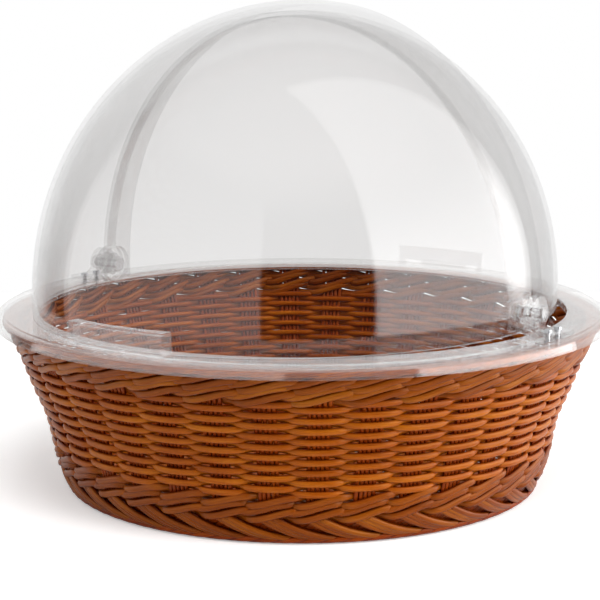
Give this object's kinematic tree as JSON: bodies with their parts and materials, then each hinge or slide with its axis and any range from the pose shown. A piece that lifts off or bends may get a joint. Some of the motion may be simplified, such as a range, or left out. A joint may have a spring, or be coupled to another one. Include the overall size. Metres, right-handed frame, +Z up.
{
  "type": "countertop bread display bin",
  "caption": "Round woven basket with a clear rim ring and two clear dome covers, nested, that roll open on shared side pivots.",
  "frame": {"origin": "centre of the foot ring on the table", "axes": "+Z up along the basket's centre line; the pivots lie along X; the outer cover opens from the front, -Y"},
  "size_m": [0.4169, 0.417, 0.3265],
  "materials": {
    "clear_plastic": "gloss",
    "strand": "satin",
    "strand_dark": "satin",
    "steel": "satin"
  },
  "bodies": {
    "bin": {"basket_base": "strand_dark", "side_stakes": "strand_dark", "wall_weave_odd": "strand", "wall_weave_even": "strand", "upper_wale": "strand", "lower_wale": "strand", "top_border": "strand", "rim_hoop": "steel", "foot_border": "strand", "foot_ring": "strand_dark", "foot_hoop": "steel", "rim_ring": "clear_plastic", "bracket_left": "clear_plastic", "bracket_right": "clear_plastic", "pivot_pin_left": "clear_plastic", "pivot_pin_right": "clear_plastic", "pin_cap_left": "clear_plastic", "pin_cap_right": "clear_plastic", "bearing_washers": "clear_plastic", "cover_washers": "clear_plastic", "bracket_screws": "steel"},
    "front_cover": {"outer_cover": "clear_plastic", "outer_handle": "clear_plastic"},
    "back_cover": {"inner_cover": "clear_plastic", "inner_handle": "clear_plastic"}
  },
  "joints": [
    {"name": "front_cover_roll", "type": "hinge", "parent": "bin", "child": "front_cover", "pos_m": [0, 0, 0.1335], "axis": [-1, 0, 0], "range_deg": [0, 80]},
    {"name": "back_cover_roll", "type": "hinge", "parent": "bin", "child": "back_cover", "pos_m": [0, 0, 0.1335], "axis": [1, 0, 0], "range_deg": [0, 80]}
  ]
}
